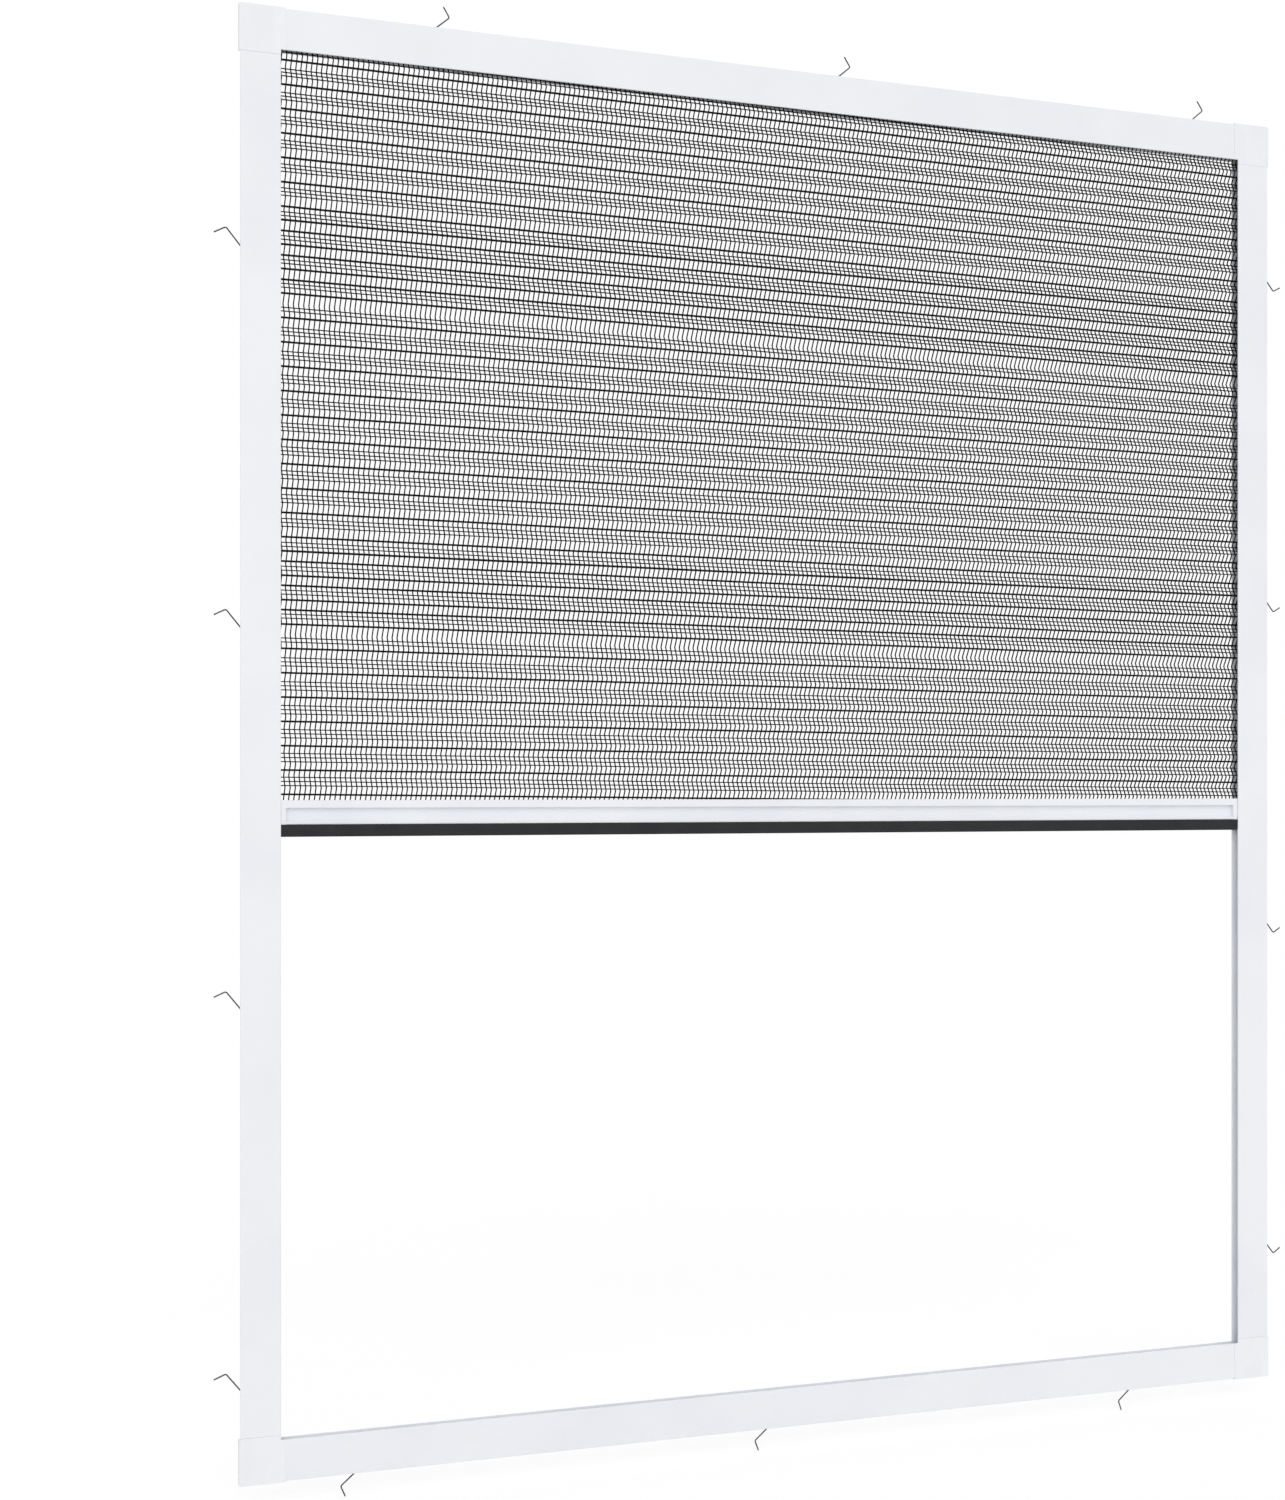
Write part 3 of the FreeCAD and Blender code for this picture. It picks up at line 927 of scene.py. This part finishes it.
    def build(self) -> None:
        """Builds all bands."""
        pattern = self.pattern
        random = np.random.default_rng(self.seed)
        course = pattern.course()
        shifts = random.normal(0.0, self.waviness, (len(pattern.uprights()), len(course)))
        material = self.paintbox.get(Slot.NET)
        for number, (first, last) in enumerate(self.bands(), start=1):
            parts = [self.upright_threads(first, last, course, shifts)]
            for point, share, bold in self.crossings(first, last):
                parts.append(self.crossing(course[point], course[point + 1], share, bold, random))
            starts = np.cumsum([0] + [len(points) for points, _ in parts])
            points = np.vstack([points for points, _ in parts])
            faces = np.vstack([faces + start for (_, faces), start in zip(parts, starts)])
            piece = new_piece(f"net_pleat_{number:02d}", points.tolist(), faces.tolist(), material)
            self.trim(piece)
            self.follow(piece, float(course[first, 1]), float(course[last, 1]))
            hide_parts("pleated_net")
            inside = course[first:last + 1].copy()
            inside[:, 1] = inside[:, 1].clip(pattern.foot, pattern.top)


class Side(Enum):
    """A side of the frame and its turn about the depth axis, in degrees."""

    RIGHT = 0
    TOP = -90
    LEFT = 180
    BOTTOM = 90


@dataclass(frozen=True)
class HookRow:
    """The hooks of one side: how far out it is, its half length, and the gaps before and after them."""

    side: Side
    edge: float
    half_length: float
    count: int
    before: float
    after: float

    def places(self) -> List[float]:
        """Lists how far along the side each hook stands from its middle."""
        step = (self.half_length * 2 - self.before - self.after) / (self.count - 1)
        return [self.before - self.half_length + step * number for number in range(self.count)]


@dataclass
class SpringHooks:
    """The wire hooks that hold the screen in the window: a leaning leg, a round bend and a tip."""

    paintbox: Paintbox
    rows: Tuple[HookRow, ...] = (
        HookRow(Side.RIGHT, 0.5, 0.6, 4, 0.1359, 0.1351),
        HookRow(Side.TOP, 0.6, 0.5, 3, 0.0908, 0.1584),
        HookRow(Side.LEFT, 0.5, 0.6, 4, 0.2009, 0.0701),
        HookRow(Side.BOTTOM, 0.6, 0.5, 3, 0.1050, 0.1442),
    )
    wire: float = 0.0012
    bend: float = 0.0018
    root_in: float = 0.0085
    seat_back: float = 0.0025
    reach: float = 0.0107
    lean: float = 50.4
    turn: float = 76.5
    tip_back: float = 12.9
    tip: float = 0.0108
    ring: int = 12
    leg_points: int = 7
    bend_steps: int = 9
    tip_points: int = 6
    end_angles: Triple = (25, 50, 72)

    def route(self) -> np.ndarray:
        """Works out the wire's middle line in its own plane.

        Returns:
            Its points, from the root along the leg, round the bend and along the tip.
        """
        leg = (self.reach + self.root_in) / math.cos(math.radians(self.lean))
        turn = math.radians(self.turn)
        cut = self.bend * math.tan(turn / 2)
        points = [(x, 0.0) for x in np.linspace(0.0, leg - cut, self.leg_points)]
        for step in range(1, self.bend_steps + 1):
            angle = turn * step / self.bend_steps
            points.append((leg - cut + self.bend * math.sin(angle), self.bend * (1 - math.cos(angle))))
        away = np.array([math.cos(turn), math.sin(turn)])
        corner = np.array([leg, 0.0])
        reaches = np.linspace(cut, self.tip, self.tip_points)[1:]
        points.extend(tuple(corner + away * reach) for reach in reaches)
        return np.array(points)

    def tube(self) -> Tuple[np.ndarray, List[Tuple[int, ...]], List[float]]:
        """Builds the wire's skin, with rounded ends.

        Returns:
            Vertices, faces, and how far along the wire each ring of vertices lies.
        """
        route = self.route()
        radius = self.wire / 2
        tangents = np.gradient(route, axis=0)
        tangents[0], tangents[-1] = route[1] - route[0], route[-1] - route[-2]
        tangents /= np.linalg.norm(tangents, axis=1)[:, None]
        rings = [(point, tangent, radius) for point, tangent in zip(route, tangents)]
        for end, sign in ((0, 1), (-1, -1)):
            point, tangent, _ = rings[end]
            inward = tangent * sign * radius
            rounds = [
                (point + inward * (1 - math.sin(angle)), tangent, radius * math.cos(angle))
                for angle in (math.radians(degrees) for degrees in self.end_angles)
            ]
            body_end = (point + inward, tangent, radius)
            if end == 0:
                rings = [*reversed(rounds), body_end, *rings[1:]]
            else:
                rings = [*rings[:-1], body_end, *rounds]
        points: List[Triple] = []
        along: List[float] = []
        travelled = 0.0
        for number, (point, tangent, size) in enumerate(rings):
            if number:
                travelled += float(np.linalg.norm(point - rings[number - 1][0]))
            along.append(travelled)
            side = np.array([-tangent[1], tangent[0]])
            for place in range(self.ring):
                angle = math.tau * place / self.ring
                flat = point + side * math.cos(angle) * size
                points.append((flat[0], math.sin(angle) * size, flat[1]))
        faces: List[Tuple[int, ...]] = []
        for number in range(len(rings) - 1):
            for place in range(self.ring):
                here, there = number * self.ring, (number + 1) * self.ring
                beside = (place + 1) % self.ring
                faces.append((here + place, here + beside, there + beside, there + place))
        faces.append(tuple(reversed(range(self.ring))))
        faces.append(tuple(range((len(rings) - 1) * self.ring, len(rings) * self.ring)))
        return np.array(points), faces, along

    def seat(self, row: HookRow, along: float) -> Matrix:
        """Works out where a hook stands.

        Args:
            row: The row of hooks.
            along: How far along its side the holder stands.

        Returns:
            The matrix from the wire's own plane to its place in the frame.
        """
        out = row.edge - self.root_in
        run = along + self.seat_back * math.tan(math.radians(self.lean))
        turned = Matrix.Rotation(math.radians(row.side.value), 4, "Y")
        leaning = Matrix.Rotation(math.radians(self.lean), 4, "Y")
        tipped = Matrix.Rotation(math.radians(-self.tip_back), 4, "X")
        return turned @ Matrix.Translation(Vector((out, 0.0, run))) @ leaning @ tipped

    def build(self) -> None:
        """Builds every hook."""
        points, faces, along = self.tube()
        for row in self.rows:
            for number, place in enumerate(row.places(), start=1):
                node = f"{row.side.name.lower()}_hook_{number}"
                seat = self.seat(row, place)
                moved = [tuple(seat @ Vector(point)) for point in points]
                piece = new_piece(f"{node}_wire", moved, faces, self.paintbox.get(Slot.WIRE))
                self.unwrap(piece, along)
                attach(piece, "frame")
                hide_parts(node)
                low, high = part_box(node)
                mine = np.array([np.min(moved, axis=0), np.max(moved, axis=0)])
                gap = float(abs(mine - np.array([low, high])).max()) * 1000
                LOG.info("%s_wire: %d faces, box within %.2f mm of its solid", node, len(faces), gap)

    def unwrap(self, piece: bpy.types.Object, along: Sequence[float]) -> None:
        """Gives a wire its map: round the wire, and metres along it times 1000.

        Args:
            piece: The wire.
            along: How far along the wire each ring lies.
        """
        layer = piece.data.uv_layers.new(name="wire")
        for loop in piece.data.loops:
            ring, place = divmod(loop.vertex_index, self.ring)
            layer.data[loop.index].uv = (place / self.ring, along[ring] * 1000)


# Studio


@dataclass(frozen=True)
class Lamp:
    """A broad far light: where it shines from, how wide it looks and how strong it is."""

    name: str
    azimuth: float
    height: float
    width: float
    strength: float


@dataclass
class Studio:
    """The plain pale floor, the soft lights, the white background and the camera."""

    ambient: float = 0.62
    floor_gap: float = 0.0004
    floor_half: float = 6.0
    floor_glow: float = 1.147
    floor_glow_share: float = 0.6
    floor_tones: Tuple[Colour, Colour] = (linear(240, 240, 240), linear(245, 245, 245))
    floor_clouds: Lumps = Lumps(3.0)
    eye: Triple = (-0.944, -1.9675, -0.036)
    pan: float = -22.06
    lens: float = 58.87
    sensor: float = 36.0
    rise: float = 0.026
    clip: Tuple[float, float] = (0.05, 50.0)
    lamps: Tuple[Lamp, ...] = (
        Lamp("key_light", -15.0, 26.0, 60.0, 1.08),
        Lamp("back_light", 150.0, 35.0, 60.0, 0.7),
    )

    def seen(self, tree: ShaderTree) -> Signal:
        """Tells the rays that show the studio from those that light the object.

        Args:
            tree: The tree to build in.

        Returns:
            1 for camera, glossy and transmission rays and 0 for the others.
        """
        path = tree.add("ShaderNodeLightPath")
        camera = Signal(tree, path.outputs["Is Camera Ray"])
        glossy = Signal(tree, path.outputs["Is Glossy Ray"])
        through = Signal(tree, path.outputs["Is Transmission Ray"])
        return (camera + glossy + through).at_most(1.0)

    def background(self) -> None:
        """Makes the world: even light on the object and white behind it."""
        world = bpy.data.worlds.new("studio_world")
        world.use_nodes = True
        bpy.context.scene.world = world
        tree = ShaderTree(world.node_tree)
        light = tree.add("ShaderNodeBackground", None, {"Color": (1, 1, 1, 1), "Strength": self.ambient})
        white = tree.add("ShaderNodeBackground", None, {"Color": (1, 1, 1, 1), "Strength": 1.0})
        mix = tree.add(
            "ShaderNodeMixShader", None, {0: self.seen(tree), 1: light.outputs[0], 2: white.outputs[0]}
        )
        tree.add("ShaderNodeOutputWorld", None, {"Surface": mix.outputs[0]})

    def floor(self) -> None:
        """Makes the pale floor, white to the eye but for the object's shadow."""
        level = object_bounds()[0].z - self.floor_gap
        half = self.floor_half
        corners = [
            (-half, -half, level), (half, -half, level), (half, half, level), (-half, half, level),
        ]
        material = bpy.data.materials.new("studio_floor")
        material.use_nodes = True
        tree = ShaderTree(material.node_tree)
        tone = tree.blend(tree.noise(tree.place(), self.floor_clouds), *self.floor_tones)
        paper = tree.add("ShaderNodeBsdfDiffuse", None, {"Color": tone})
        glow = tree.add(
            "ShaderNodeEmission", None, {"Color": (1, 1, 1, 1), "Strength": self.floor_glow}
        )
        mix = tree.add(
            "ShaderNodeMixShader",
            None,
            {0: self.seen(tree) * self.floor_glow_share, 1: paper.outputs[0], 2: glow.outputs[0]},
        )
        tree.add("ShaderNodeOutputMaterial", None, {"Surface": mix.outputs[0]})
        new_piece("studio_floor", corners, [(0, 1, 2, 3)], material)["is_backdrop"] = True

    def light(self) -> None:
        """Sets up the lights. Azimuth 0 shines from the front, and it grows towards the right."""
        for lamp in self.lamps:
            data = bpy.data.lights.new(lamp.name, "SUN")
            data.angle = math.radians(lamp.width)
            data.energy = lamp.strength
            light = bpy.data.objects.new(lamp.name, data)
            tilt = math.radians(90 - lamp.height)
            light.rotation_euler = (tilt, 0.0, math.radians(lamp.azimuth))
            bpy.context.scene.collection.objects.link(light)

    def camera(self) -> None:
        """Sets the camera at the photograph's angle."""
        data = bpy.data.cameras.new("photo_camera")
        data.lens = self.lens
        data.sensor_width = self.sensor
        data.shift_y = self.rise
        data.clip_start, data.clip_end = self.clip
        eye = bpy.data.objects.new("photo_camera", data)
        eye.location = self.eye
        eye.rotation_euler = (math.radians(90), 0.0, math.radians(self.pan))
        bpy.context.scene.collection.objects.link(eye)
        bpy.context.scene.camera = eye

    def build(self) -> None:
        """Builds the studio."""
        self.background()
        self.floor()
        self.light()
        self.camera()
        bpy.context.scene.view_settings.view_transform = "Standard"
        LOG.info("studio: %d lights, ambient %.2f", len(self.lamps), self.ambient)


def main() -> None:
    """Builds the dressed screen and its studio."""
    logging.basicConfig(level=logging.INFO, format="%(message)s")
    paintbox = Paintbox()
    Profiles(paintbox).dress()
    PleatedNet(paintbox).build()
    SpringHooks(paintbox).build()
    Studio().build()


if __name__ == "__main__":
    main()
